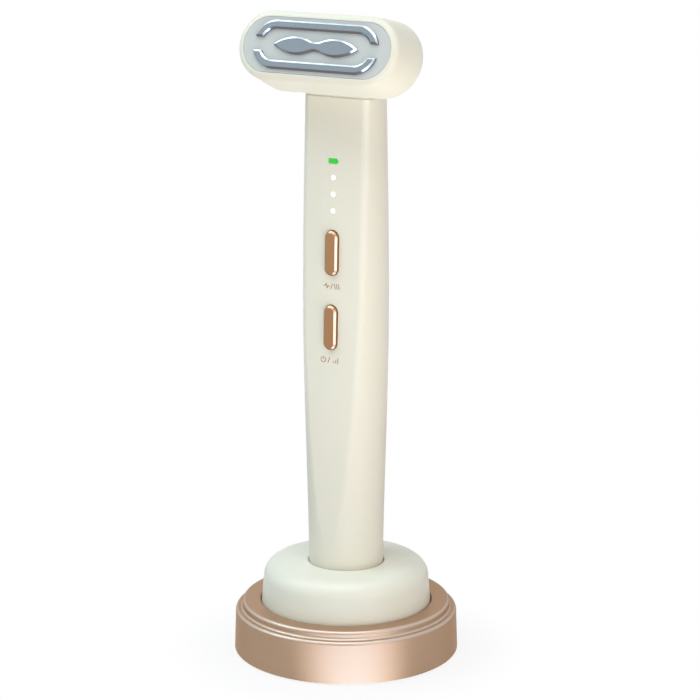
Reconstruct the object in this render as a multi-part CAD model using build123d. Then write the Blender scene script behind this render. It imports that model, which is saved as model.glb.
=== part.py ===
from build123d import *
import math
import os

# LED facial wand standing in its round charging stand, in millimetres.
# The origin is the centre of the stand on the table, +Z is up and the front faces -Y.
# Stand pieces are drawn in that frame. Wand pieces are drawn with height 0 at the wand's
# foot and are lifted onto the socket floor when they are written.

os.makedirs("parts", exist_ok=True)

# Clearances
slip_gap = 0.1
running_gap = 0.05
seat_gap = 0.05
edge_break = 0.3
join_overlap = 0.2

# Stand, turned metal base ring
base_radius = 36.0
base_draft = 0.5
ledge_drop = 2.65
step_inset = 2.7
plate_height = 16.85
shelf_drop = 2.85
shelf_width = 3.7
shelf_thickness = 2.0
skirt_wall = 2.0
edge_round = 1.15
groove_round = 0.9
skirt_corner_round = 1.0

# Stand, moulded cup with the socket for the wand
cup_radius = 27.13
cup_height = 29.74
cup_draft = 5.0
cup_shoulder = 5.4
cup_wall = 2.0
cup_recess_gap = 0.4
socket_depth = 19.74
socket_clearance = 0.23
socket_wall = 1.8
socket_floor_thickness = 1.6
socket_rim_round = 0.6
socket_floor_round = 0.5
socket_root_round = 0.8
cup_foot_round = 0.4
key_width = 2.4
key_height = 8.0
key_reach = 1.1
key_clearance = 0.25
key_top_gap = 0.6

# Stand, bottom cover, rubber foot ring, ballast and screws
foot_proud = 0.6
foot_ring_set_in = 3.6
foot_ring_width = 3.8
foot_ring_inset = 0.7
foot_ring_round = 0.2
cover_thickness = 2.0
cover_rim = 1.2
cover_rim_thickness = 1.2
boss_circle = 18.8
boss_radius = 3.5
boss_tip_radius = 2.5
boss_tip_insert = 2.1
post_wall = 1.4
post_floor = 1.7
screw_run_out = 1.0
pillar_floor = 0.6
ballast_thickness = 5.4
ballast_lift = 4.0
ballast_inner_gap = 0.5
ballast_outer_gap = 0.5
ballast_chamfer = 0.4
stand_screw_radius = 1.1
stand_screw_length = 8.0
stand_screw_head_radius = 2.0
stand_screw_head_height = 1.5
screw_crown_share = 0.45
screw_point_share = 0.4
recess_length_share = 1.1
recess_width_share = 0.28

# Stand, circuit board, charging inlet and sprung pins
board_stand_off = 0.7
board_thickness = 1.2
stand_board_radius = 13.2
stand_board_tail_width = 13.0
stand_board_screw_offset = 10.3
stand_board_screw_length = 2.6
small_screw_radius = 0.8
small_screw_head_radius = 1.5
small_screw_head_height = 1.0
stand_off_radius = 2.4
inlet_width = 8.94
inlet_height = 3.26
inlet_length = 7.3
inlet_skin = 0.3
inlet_setback = 0.5
inlet_opening_gap = 0.3
tongue_width = 6.7
tongue_thickness = 0.7
tongue_length = 4.6
tongue_block_gap = 1.2
pin_spacing = 9.0
pin_barrel_radius = 1.2
pin_barrel_bore = 0.85
pin_barrel_lid = 0.3
pin_barrel_base = 0.4
pin_barrel_drop = 0.4
pin_head_radius = 0.6
pin_tail_length = 1.3
pin_tail_round = 0.15
pin_tip_round = 0.4
pin_spring_wire = 0.2
spring_wire_share = 0.8
pin_spring_turns = 4

# Wand, outer form of the handle
handle_foot_radius = 11.85
handle_belly_radius = 13.48
handle_neck_radius = 12.5
foot_straight = 12.9
belly_height = 101.9
neck_height = 170.9
neck_slope = 0.0215
dome_rise = 19.6
dome_lean = 13.0
dome_shoulder = 5.5
facet_distance = 9.4
facet_tilt = 1.95
facet_crown_radius = 110.0
crease_round = 2.6
crease_least_angle = 7.0
handle_spans = 13
foot_edge_round = 1.5

# Wand, bore of the handle and its end cap
bore_foot_radius = 10.1
bore_neck_radius = 9.9
bore_run_out = 5.0
facet_wall = 2.0
cap_thickness = 2.5
cap_plug_length = 5.0
cap_plug_gap = 0.15
seal_section = 1.0
seal_squeeze = 0.1
seal_seat = 0.02
seal_height = 5.0
seal_groove_width = 1.3
contact_radius = 2.0
contact_thickness = 1.0
contact_recess = 0.6
contact_stud_radius = 0.8
cap_screw_offset = 6.2
cap_screw_radius = 1.0
cap_screw_length = 9.0
cap_screw_head_radius = 1.8
cap_screw_head_height = 1.3
cap_screw_head_inset = 0.3

# Wand, main board and the frame that carries it
board_depth = 6.6
main_board_width = 14.0
main_board_top_drop = 12.0
main_board_foot_drop = 84.0
board_corner = 1.0
frame_gap = 0.2
frame_wall = 1.4
frame_rib = 1.5
frame_bulkhead = 4.0
frame_foot_gap = 0.2
pillar_radius = 2.2
pillar_drops = (15.5, 41.0, 81.0)
board_screw_length = 5.0
frame_top_margin = 1.0
wire_slot_depth = 4.4
wire_slot_margin = 2.0
control_chip_drop = 3.0
low_chip_offset = 4.2
middle_chip_offset = 4.5
controller_size = (4.0, 4.0, 1.0)
charger_size = (4.6, 3.4, 1.2)
driver_size = (3.0, 5.0, 0.9)
memory_size = (3.4, 3.4, 1.1)

# Wand, battery
battery_radius = 7.0
battery_length = 50.0
battery_back_shift = 0.9
battery_foot = 15.0
battery_tip_radius = 2.5
battery_tip_height = 1.0
battery_end_round = 0.6
battery_gap = 0.2
pad_gap = 0.25
pad_width = 8.0
pad_length = 36.0

# Wand, buttons and switches
button_width = 4.6
button_length = 14.25
button_proud = 1.3
button_draft = 9.0
button_bevel = 0.52
button_gap = 0.1
button_flange_reach = 1.1
button_flange_thickness = 0.8
button_post_radius = 1.2
upper_button_drop = 49.5
lower_button_drop = 72.95
gasket_width = 11.0
gasket_length = 45.0
gasket_thickness = 1.2
gasket_corner = 2.0
gasket_window_gap = 0.35
switch_size = 5.2
switch_height = 1.7
switch_floor = 0.3
switch_corner = 0.4
stem_radius = 1.0
stem_rise = 0.8
stem_tail = 0.7

# Wand, light windows
level_window_radius = 0.74
level_window_count = 3
level_window_pitch = 5.15
first_level_drop = 26.03
battery_window_drop = 20.9
battery_window_width = 3.55
battery_window_height = 1.65
battery_window_point = 0.6
battery_window_round = 0.2
window_gap = 0.05
light_pipe_length = 4.6
web_thickness = 0.8
web_margin = 0.9
battery_web_margin = 0.81
web_corner = 0.5
shield_width = 7.0
shield_margin = 2.2
shield_gap = 0.35
shield_corner = 0.8
shield_cell_corner = 0.4
led_length = 2.0
led_width = 1.25
led_height = 0.7

# Wand, head
head_reach = 18.38
head_rise = 15.2
head_tilt = 19.43
head_half_straight = 16.8
bezel_radius = 10.6
bezel_round = 2.05
head_back_radius = 11.98
head_back_shift = 0.45
head_depth = 13.4
head_wall = 2.0
panel_radius = 8.58
panel_thickness = 2.0
panel_gap = 0.1
panel_ledge = 1.2
panel_ledge_reach = 1.3
back_thickness = 3.4
back_round = 2.8
back_floor = 2.0
lip_length = 2.2
lip_wall = 1.5
lip_root = 0.4
lip_gap = 0.1
gasket_gap_height = 0.4
split_drop = 1.2
gasket_inset = 0.35
collar_length = 8.0
collar_gap = 0.12
collar_wall = 1.5
neck_passage_radius = 4.5
neck_cavity_top = 9.0

# Wand, electrodes
electrode_proud = 1.1
electrode_seat = 0.3
electrode_bevel_width = 0.5
electrode_bevel_depth = 0.45
bar_width = 2.57
bar_centre_radius = 6.17
bar_half_straight = 14.0
bar_end_angle = 20.0
leaf_half_length = 14.5
leaf_half_height = 2.65
leaf_peak = 7.2
leaf_waist = 1.32
leaf_flank = 2.7
leaf_flank_rise = 0.64
leaf_tip_slope = 0.9
stud_radius = 0.8
stud_spacing = 20.0

# Wand, light board and vibration motor in the head
led_board_gap = 0.25
led_board_thickness = 1.0
chip_length = 2.8
chip_width = 2.2
chip_height = 0.8
chip_columns = 5
chip_pitch = 6.0
chip_row_offset = 3.75
stake_radius = 0.7
stake_length = 1.8
stake_inset = 0.75
stake_angle = 35.0
motor_radius = 3.0
motor_length = 11.0
motor_edge_round = 0.4
motor_depth = 9.3
motor_centre = -11.5
motor_shaft_radius = 0.5
motor_shaft_reach = 5.0
motor_shaft_insert = 5.0
motor_bore_end = 0.3
weight_radius = 2.8
weight_length = 3.6
weight_gap = 0.7
weight_hub_wall = 0.6
sleeve_thickness = 0.9
sleeve_length = 9.0
cradle_rib = 1.4
cradle_spacing = 6.0
cradle_margin = 1.2
cradle_root = 0.3

# Heights and radii that follow from the sizes above
socket_radius = handle_foot_radius + socket_clearance
socket_floor = cup_height - socket_depth
wand_foot = socket_floor + slip_gap
step_radius = base_radius - step_inset
ledge_height = plate_height - ledge_drop
foot_ring_radius = base_radius - foot_ring_set_in
recess_radius = cup_radius + cup_recess_gap
recess_floor = plate_height - shelf_drop
shelf_radius = recess_radius - shelf_width
base_underside = recess_floor - shelf_thickness
cover_bottom = foot_proud
cover_top = cover_bottom + cover_thickness
skirt_radius = base_radius - skirt_wall
stand_board_bottom = cover_top + board_stand_off
stand_board_top = stand_board_bottom + board_thickness
socket_tube_radius = socket_radius + socket_wall
socket_underside = socket_floor - socket_floor_thickness
ballast_bottom = cover_top + ballast_lift
ballast_top = ballast_bottom + ballast_thickness
post_top = ballast_bottom - slip_gap
post_seat = cover_top + post_floor
inlet_axis_height = stand_board_top + inlet_height / 2
inlet_mouth = base_radius - inlet_setback
pin_barrel_top = socket_floor - pin_barrel_drop
pin_tip = wand_foot + contact_recess - seat_gap
tilt = math.radians(facet_tilt)
facet_tangent = math.tan(tilt)
cap_plug_top = cap_thickness + cap_plug_length
frame_foot = cap_plug_top + frame_foot_gap
board_back = board_depth + board_thickness
split_bottom = neck_height - split_drop - gasket_gap_height / 2
split_top = neck_height - split_drop + gasket_gap_height / 2
opening_width = button_width + 2 * button_gap
opening_length = button_length + 2 * button_gap
flange_depth = facet_wall + seat_gap
button_heights = (neck_height - upper_button_drop, neck_height - lower_button_drop)
level_heights = [neck_height - first_level_drop - i * level_window_pitch for i in range(level_window_count)]
battery_window_height_at = neck_height - battery_window_drop
stem_top = board_depth - switch_height - stem_rise
led_board_depth = panel_thickness + panel_ledge
board_top_height = neck_height - main_board_top_drop
board_foot_height = neck_height - main_board_foot_drop
pillar_heights = [neck_height - drop for drop in pillar_drops]

# Placement of a cylinder that reaches down from its plane
downward = (Align.CENTER, Align.CENTER, Align.MAX)


def turned(corners):
    """Solid turned about Z from (radius, height, corner round) triples."""
    outline = make_face(Polyline(*[(r, z) for r, z, _ in corners], close=True))
    for r, z, round_radius in corners:
        if round_radius > 0:
            corner = outline.vertices().sort_by_distance((r, z, 0))[0]
            outline = fillet(corner, round_radius)
    return revolve(Plane.XZ * outline, Axis.Z)


def disc(radius, low, high, x=0.0, y=0.0):
    """Upright cylinder between two heights."""
    height = high - low
    return Pos(x, y, low) * Cylinder(radius, height, align=(Align.CENTER, Align.CENTER, Align.MIN))


def slab(low, high):
    """Everything between two heights."""
    reach = 4 * base_radius
    return Pos(0, 0, (low + high) / 2) * Box(reach, reach, high - low)


def stadium(length, width):
    """Flat slot shape along X, by its overall size."""
    return SlotOverall(length, width)


def joined(pieces):
    """One solid from several that touch."""
    whole = pieces[0]
    for piece in pieces[1:]:
        whole = whole + piece
    return whole


def spots(count, radius, start):
    """Evenly spaced places on a circle about Z."""
    turns = [math.radians(start + 360 * i / count) for i in range(count)]
    return [(radius * math.cos(a), radius * math.sin(a)) for a in turns]


# Stand

def stand_base_ring():
    """Turned and anodised ring: skirt, stepped shoulder and a round recess with a shelf for the cup."""
    cover_seat = cover_bottom + cover_rim_thickness
    ring = turned([
        (base_radius, cover_bottom, edge_break),
        (base_radius - base_draft, ledge_height, edge_round),
        (step_radius, ledge_height, groove_round),
        (step_radius, plate_height, edge_round),
        (recess_radius, plate_height, edge_break),
        (recess_radius, recess_floor, edge_break),
        (shelf_radius, recess_floor, 0),
        (shelf_radius, base_underside, 0),
        (skirt_radius, base_underside, skirt_corner_round),
        (skirt_radius, cover_seat, 0),
        (skirt_radius + cover_rim, cover_seat, 0),
        (skirt_radius + cover_rim, cover_bottom, 0),
    ])
    mouth = stadium(inlet_width + 2 * inlet_opening_gap, inlet_height + 2 * inlet_opening_gap)
    inside = (0, skirt_radius - skirt_wall, inlet_axis_height)
    place = Plane(origin=inside, x_dir=(1, 0, 0), z_dir=(0, 1, 0))
    return ring - extrude(place * mouth, 3 * skirt_wall)


def cup_side_radius(height):
    """Outer radius of the cup's drafted side at a height."""
    return cup_radius - (height - plate_height) * math.tan(math.radians(cup_draft))


def stand_cup():
    """Moulded cup: drafted side, broad round shoulder, socket tube with floor, key rib and screw bosses."""
    skin = cup_wall / math.cos(math.radians(cup_draft))
    roof = cup_height - cup_wall
    shell = turned([
        (socket_radius, cup_height, socket_rim_round),
        (cup_side_radius(cup_height), cup_height, cup_shoulder),
        (cup_side_radius(recess_floor), recess_floor, cup_foot_round),
        (cup_side_radius(recess_floor) - skin, recess_floor, 0),
        (cup_side_radius(roof) - skin, roof, cup_shoulder - cup_wall),
        (socket_tube_radius, roof, socket_root_round),
        (socket_tube_radius, socket_underside, 0),
        (0, socket_underside, 0),
        (0, socket_floor, 0),
        (socket_radius, socket_floor, socket_floor_round),
    ])
    rib_depth = socket_radius - (handle_foot_radius - key_reach + key_clearance) + socket_wall / 2
    rib = Pos(0, socket_radius + socket_wall / 2, socket_floor - socket_floor_thickness / 2) * Box(
        key_width, rib_depth, key_height + socket_floor_thickness / 2,
        align=(Align.CENTER, Align.MAX, Align.MIN))
    cup = shell + rib
    for x, y in spots(4, boss_circle, 45):
        cup = cup + disc(boss_radius, ballast_top, roof + cup_wall / 2, x, y)
        cup = cup + disc(boss_tip_radius, post_top - boss_tip_insert, ballast_top, x, y)
    for x, y in spots(4, boss_circle, 45):
        pilot_top = post_seat - post_floor + stand_screw_length + screw_run_out
        cup = cup - disc(stand_screw_radius + running_gap, cover_bottom, pilot_top, x, y)
    for side in (-1, 1):
        x = side * pin_spacing / 2
        cup = cup - disc(pin_barrel_radius + slip_gap, socket_underside - 1, socket_floor + 1, x)
    return cup


def stand_bottom_cover():
    """Flat cover with a rim under the skirt, a groove for the rubber ring, posts and board stand-offs."""
    rim_top = cover_bottom + cover_rim_thickness
    cover = turned([
        (0, cover_bottom, 0),
        (skirt_radius + cover_rim - slip_gap, cover_bottom, edge_break),
        (skirt_radius + cover_rim - slip_gap, rim_top, 0),
        (skirt_radius - slip_gap, rim_top, 0),
        (skirt_radius - slip_gap, cover_top, 0),
        (0, cover_top, 0),
    ])
    groove_outer = foot_ring_radius + slip_gap
    groove_inner = foot_ring_radius - foot_ring_width - slip_gap
    groove_top = cover_bottom + foot_ring_inset
    groove = disc(groove_outer, cover_bottom - 1, groove_top)
    core = disc(groove_inner, cover_bottom - 2, groove_top + 1)
    cover = cover - (groove - core)
    for x, y in spots(4, boss_circle, 45):
        cover = cover + disc(boss_tip_radius + slip_gap + post_wall, cover_top, post_top, x, y)
    for x, y in spots(4, boss_circle, 45):
        cover = cover - disc(boss_tip_radius + slip_gap, post_seat, post_top + 1, x, y)
        cover = cover - disc(stand_screw_radius + slip_gap, cover_bottom - 1, post_top, x, y)
        cover = cover - disc(stand_screw_head_radius + slip_gap, cover_bottom - 1, cover_top, x, y)
    for side in (-1, 1):
        x = side * stand_board_screw_offset
        cover = cover + disc(stand_off_radius, cover_top, stand_board_bottom, x)
        pilot_end = cover_bottom + pillar_floor
        cover = cover - disc(small_screw_radius + running_gap, pilot_end, stand_board_top, x)
    return cover


def stand_foot_ring():
    """Rubber ring in the groove of the bottom cover; the stand rests on it."""
    outer = foot_ring_radius
    inner = foot_ring_radius - foot_ring_width
    return turned([
        (inner, 0, foot_ring_round),
        (outer, 0, foot_ring_round),
        (outer, cover_bottom + foot_ring_inset, 0),
        (inner, cover_bottom + foot_ring_inset, 0),
    ])


def stand_ballast():
    """Steel ring on the cover's posts, pushed up against the steps of the cup's bosses."""
    ring = disc(shelf_radius - ballast_outer_gap, ballast_bottom, ballast_top)
    ring = ring - disc(socket_tube_radius + ballast_inner_gap, ballast_bottom - 1, ballast_top + 1)
    ring = chamfer(ring.edges().filter_by(GeomType.CIRCLE), ballast_chamfer)
    for x, y in spots(4, boss_circle, 45):
        ring = ring - disc(boss_tip_radius + slip_gap, ballast_bottom - 1, ballast_top + 1, x, y)
    return ring


def pan_screw(radius, length, head_radius, head_height):
    """Pan head screw, head at the origin's +Z side and shank along -Z, with a cross recess."""
    head = Cylinder(head_radius, head_height, align=(Align.CENTER, Align.CENTER, Align.MIN))
    head = fillet(head.edges().group_by(Axis.Z)[-1], head_height * screw_crown_share)
    shank = Cylinder(radius, length, align=downward)
    screw = head + chamfer(shank.edges().group_by(Axis.Z)[0], radius * screw_point_share)
    slot_length = head_radius * recess_length_share
    slot_width = head_radius * recess_width_share
    for turn in (0, 90):
        slot = Rot(0, 0, turn) * Box(slot_length, slot_width, head_height)
        screw = screw - Pos(0, 0, head_height) * slot
    return screw


def stand_screws():
    """Four screws that pull the cup down onto the ring and the cover up against it."""
    head = (stand_screw_head_radius, stand_screw_head_height)
    screw = pan_screw(stand_screw_radius, stand_screw_length, *head)
    return [Pos(x, y, cover_top) * Rot(180, 0, 0) * screw for x, y in spots(4, boss_circle, 45)]


def stand_circuit_board():
    """Round board under the socket floor with a tail that reaches back to the charging inlet."""
    tail_end = inlet_mouth - inlet_length / 3
    tail = Pos(0, tail_end / 2) * Rectangle(stand_board_tail_width, tail_end)
    outline = Circle(stand_board_radius) + tail
    board = Pos(0, 0, stand_board_bottom) * extrude(outline, board_thickness)
    for side in (-1, 1):
        x = side * stand_board_screw_offset
        board = board - disc(small_screw_radius + slip_gap, stand_board_bottom - 1, stand_board_top + 1, x)
    return board


def stand_board_screws():
    """Two small screws that hold the board to the cover."""
    screw = pan_screw(small_screw_radius, stand_board_screw_length, small_screw_head_radius,
                      small_screw_head_height)
    return [Pos(side * stand_board_screw_offset, 0, stand_board_top) * screw for side in (-1, 1)]


def inlet_plane(y):
    """Upright plane at a depth behind the axis, facing backwards, centred on the inlet."""
    return Plane(origin=(0, y, inlet_axis_height), x_dir=(1, 0, 0), z_dir=(0, 1, 0))


def charging_inlet_shell():
    """Stamped steel shell of the USB-C receptacle, open to the back of the base."""
    outer = stadium(inlet_width, inlet_height)
    inner = stadium(inlet_width - 2 * inlet_skin, inlet_height - 2 * inlet_skin)
    inner_end = inlet_mouth - inlet_length
    body = extrude(inlet_plane(inner_end) * outer, inlet_length)
    return body - extrude(inlet_plane(inner_end + inlet_skin) * inner, inlet_length)


def charging_inlet_tongue():
    """Insulating block and contact tongue inside the receptacle."""
    border = 2 * inlet_skin + 2 * running_gap
    block = stadium(inlet_width - border, inlet_height - border)
    start = inlet_mouth - inlet_length + inlet_skin
    block_length = inlet_length - inlet_skin - tongue_length - tongue_block_gap
    tongue = Rectangle(tongue_width, tongue_thickness)
    body = extrude(inlet_plane(start) * block, block_length)
    return body + extrude(inlet_plane(start) * tongue, block_length + tongue_length)


def charging_pin_barrels():
    """Two gold-plated barrels on the board that guide the sprung pins."""
    barrels = []
    for side in (-1, 1):
        x = side * pin_spacing / 2
        barrel = disc(pin_barrel_radius, stand_board_top, pin_barrel_top, x)
        lid = pin_barrel_top - pin_barrel_lid
        barrel = barrel - disc(pin_barrel_bore, stand_board_top + pin_barrel_base, lid, x)
        mouth = disc(pin_head_radius + running_gap, lid - join_overlap, pin_barrel_top + 1, x)
        barrels.append(barrel - mouth)
    return barrels


def charging_pin(side):
    """Plunger of a sprung charging pin, held in its barrel by a shoulder."""
    lid = pin_barrel_top - pin_barrel_lid - running_gap
    tail_radius = pin_barrel_bore - running_gap
    pin = turned([
        (0, lid - pin_tail_length, 0),
        (tail_radius, lid - pin_tail_length, pin_tail_round),
        (tail_radius, lid, 0),
        (pin_head_radius, lid, 0),
        (pin_head_radius, pin_tip, pin_tip_round),
        (0, pin_tip, 0),
    ])
    return Pos(side * pin_spacing / 2, 0, 0) * pin


def pin_spring(side):
    """Coil spring between the barrel's base and the plunger."""
    bottom = stand_board_top + pin_barrel_base + seat_gap
    top = pin_barrel_top - pin_barrel_lid - running_gap - pin_tail_length - seat_gap
    coil_radius = pin_barrel_bore - slip_gap - pin_spring_wire / 2
    rise = top - bottom - pin_spring_wire
    path = Helix(rise / pin_spring_turns, rise, coil_radius)
    wire = pin_spring_wire * spring_wire_share
    section = Plane(origin=path @ 0, z_dir=path % 0) * Rectangle(wire, wire)
    coil = sweep(section, path=path, is_frenet=True)
    return Pos(side * pin_spacing / 2, 0, bottom + pin_spring_wire / 2) * coil


# Wand, outer form

def facet_plane(height, depth=0.0):
    """Plane on the facet's centre line at a height, depth below it, X to the right and Y up the facet."""
    distance = facet_distance + (belly_height - height) * facet_tangent
    normal = Vector(0, -math.cos(tilt), math.sin(tilt))
    return Plane(origin=Vector(0, -distance, height) - normal * depth, x_dir=(1, 0, 0), z_dir=normal)


def crown():
    """Long block whose front is the gently crowned facet."""
    radius = facet_crown_radius
    half_width = 2 * handle_belly_radius
    sag = radius - math.sqrt(radius**2 - half_width**2)
    back = 4 * handle_belly_radius
    front = ThreePointArc((-half_width, sag), (0, 0), (half_width, sag))
    sides = Polyline((half_width, sag), (half_width, back), (-half_width, back), (-half_width, sag))
    outline = make_face(Curve() + [front, sides])
    middle = facet_plane(neck_height / 2)
    up_the_facet = Plane(origin=middle.origin, x_dir=(1, 0, 0), z_dir=middle.y_dir)
    return extrude(up_the_facet * outline, neck_height, both=True)


def ease(first, second, third, last, share):
    """Value of a cubic Bezier with evenly spaced heights, at a share of its length."""
    rest = 1 - share
    return first * rest**3 + 3 * second * rest**2 * share + 3 * third * rest * share**2 + last * share**3


def handle_radius(height):
    """Radius of the handle's round side: straight foot, slow rise to the belly, fall to the neck."""
    foot, belly, neck = handle_foot_radius, handle_belly_radius, handle_neck_radius
    if height <= foot_straight:
        return foot
    if height <= belly_height:
        return ease(foot, foot, belly, belly, (height - foot_straight) / (belly_height - foot_straight))
    climb = neck_height - belly_height
    return ease(belly, belly, neck + neck_slope * climb / 3, neck, (height - belly_height) / climb)


def arc_point(radius, angle, height, centre=0.0):
    """Point on a circle about the height axis, by its angle from the front towards the right."""
    return (radius * math.sin(angle), centre - radius * math.cos(angle), height)


def handle_outline(height, inset=0.0):
    """Outline of the handle at a height: round back, crowned facet and two soft creases, as arcs."""
    radius = handle_radius(height) - inset
    crown_radius = facet_crown_radius - inset
    crown_centre = facet_crown_radius - facet_distance - (belly_height - height) * facet_tangent
    blend_orbit = radius - crease_round
    crown_orbit = crown_radius - crease_round
    blend_y = (blend_orbit**2 - crown_orbit**2 + crown_centre**2) / (2 * crown_centre)
    round_angle = math.acos(min(1.0, -blend_y / blend_orbit))
    least_angle = math.radians(crease_least_angle)
    if round_angle < least_angle:
        half, full = least_angle / 2, least_angle
        facet_side = [arc_point(radius, share * half, height) for share in (-1, 0, 1)]
        right_crease = [arc_point(radius, angle, height) for angle in (half, (half + full) / 2, full)]
    else:
        full = round_angle
        blend_x = blend_orbit * math.sin(full)
        crown_angle = math.atan2(blend_x, crown_centre - blend_y)
        middle = (full + crown_angle) / 2
        facet_side = [arc_point(crown_radius, share * crown_angle, height, crown_centre)
                      for share in (-1, 0, 1)]
        middle_x = blend_x + crease_round * math.sin(middle)
        middle_y = blend_y - crease_round * math.cos(middle)
        right_crease = [facet_side[2], (middle_x, middle_y, height), arc_point(radius, full, height)]
    right_side = [arc_point(radius, angle, height) for angle in (full, (full + math.pi) / 2, math.pi)]
    left_side = [(-x, y, z) for x, y, z in reversed(right_side)]
    left_crease = [(-x, y, z) for x, y, z in reversed(right_crease)]
    sides = (facet_side, right_crease, right_side, left_side, left_crease)
    return Face(Wire([ThreePointArc(*side).edge() for side in sides]))


def handle_form():
    """Outer form of the barrel, lofted through its outlines above a straight round foot."""
    rise = (split_bottom - foot_straight) / handle_spans
    outlines = [handle_outline(foot_straight + i * rise) for i in range(handle_spans + 1)]
    return disc(handle_foot_radius, cap_thickness, foot_straight) + (Part() + loft(outlines))


def neck_form():
    """Outer form above the barrel: the round neck closed by a dome, with the facet and its creases."""
    top = neck_height + dome_rise
    neck = handle_radius(split_top)
    profile = Curve() + [
        Line((0, split_top), (neck, split_top)),
        Bezier((neck, split_top), (neck - neck_slope * dome_lean, split_top + dome_lean),
               (neck - dome_shoulder, top), (0, top)),
        Line((0, top), (0, split_top)),
    ]
    dome = revolve(Plane.XZ * make_face(profile), Axis.Z) & crown()
    return fillet(dome.edges().filter_by(GeomType.BSPLINE), crease_round)


def behind_facet(depth):
    """Everything behind a plane parallel to the facet, a depth below it."""
    reach = 2 * neck_height
    return facet_plane(neck_height / 2, depth) * Box(reach, reach, reach, align=downward)


def bore_form(inset):
    """Space inside the handle: a slightly tapered round bore with a flat front, set in by an amount."""
    cone = revolve(Plane.XZ * make_face(Polyline(
        (0, -1), (bore_foot_radius - inset, -1), (bore_neck_radius - inset, neck_height + bore_run_out),
        (0, neck_height + bore_run_out), close=True)), Axis.Z)
    return cone & behind_facet(facet_wall + inset)


def window_cut(sketch, height, depth_from, depth_to):
    """Prism of a sketch through the facet wall between two depths at a height."""
    return extrude(facet_plane(height, depth_to) * sketch, depth_to - depth_from)


def upright(sketch):
    """Sketch turned so that its long side runs up the facet."""
    return Rot(0, 0, 90) * sketch


def key_groove():
    """Groove at the back of the foot that slides over the cup's key rib."""
    width = key_width + 2 * key_clearance
    height = key_height + key_top_gap
    floor_radius = handle_foot_radius - key_reach
    return Pos(0, floor_radius, -1) * Box(width, 2 * key_reach, height + 1,
                                          align=(Align.CENTER, Align.MIN, Align.MIN))


def battery_sign():
    """Battery shape of the light window, pointing to the right."""
    half = battery_window_height / 2
    left = -battery_window_width / 2
    shoulder = battery_window_width / 2 - battery_window_point
    sign = make_face(Polyline((left, -half), (shoulder, -half), (battery_window_width / 2, 0),
                              (shoulder, half), (left, half), close=True))
    return fillet(sign.vertices(), battery_window_round)


def handle_barrel():
    """One-piece moulded barrel with its openings for the buttons and light windows."""
    barrel = handle_form() - bore_form(0)
    through = (-2 * button_proud, facet_wall + 2)
    for height in button_heights:
        barrel = barrel - window_cut(upright(stadium(opening_length, opening_width)), height, *through)
    for height in level_heights:
        barrel = barrel - window_cut(Circle(level_window_radius + window_gap), height, *through)
    sign = offset(battery_sign(), window_gap, kind=Kind.INTERSECTION)
    barrel = barrel - window_cut(sign, battery_window_height_at, *through)
    return barrel - key_groove()


def handle_end_cap():
    """Cap that closes the foot: a disc with a rounded edge and a plug with a groove for the seal."""
    cap = disc(handle_foot_radius, 0, cap_thickness)
    cap = fillet(cap.edges().group_by(Axis.Z)[0], foot_edge_round)
    plug_radius = bore_foot_radius - cap_plug_gap
    cap = cap + disc(plug_radius, cap_thickness, cap_plug_top)
    groove_floor = plug_radius - seal_section + seal_squeeze
    groove_low = seal_height - seal_groove_width / 2
    groove_high = seal_height + seal_groove_width / 2
    groove = disc(plug_radius + 1, groove_low, groove_high)
    groove = groove - disc(groove_floor, groove_low - 1, groove_high + 1)
    cap = cap - groove - key_groove()
    for side in (-1, 1):
        x = side * pin_spacing / 2
        cap = cap - disc(contact_radius + running_gap, -1, contact_recess + contact_thickness, x)
        cap = cap - disc(contact_stud_radius + running_gap, 0, cap_plug_top + 1, x)
        y = side * cap_screw_offset
        head_seat = cap_screw_head_inset + cap_screw_head_height
        cap = cap - disc(cap_screw_head_radius + slip_gap, -1, head_seat, 0, y)
        cap = cap - disc(cap_screw_radius + slip_gap, 0, cap_plug_top + 1, 0, y)
    return cap


def end_cap_seal():
    """Rubber ring in the plug's groove."""
    groove_floor = bore_foot_radius - cap_plug_gap - seal_section + seal_squeeze
    ring_radius = groove_floor + seal_section / 2 + seal_seat
    return Pos(0, 0, seal_height) * Torus(ring_radius, seal_section / 2)


def charging_contacts():
    """Two gold-plated pads, recessed in the foot, each with a stud through the cap."""
    pads = []
    for side in (-1, 1):
        x = side * pin_spacing / 2
        top = contact_recess + contact_thickness
        pad = disc(contact_radius, contact_recess, top, x)
        pads.append(pad + disc(contact_stud_radius, top, cap_plug_top + 1, x))
    return pads


def end_cap_screws():
    """Two screws through the cap into the inner frame."""
    screw = pan_screw(cap_screw_radius, cap_screw_length, cap_screw_head_radius, cap_screw_head_height)
    seat = cap_screw_head_inset + cap_screw_head_height
    return [Pos(0, side * cap_screw_offset, seat) * Rot(180, 0, 0) * screw for side in (-1, 1)]


# Wand, inside the handle

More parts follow.
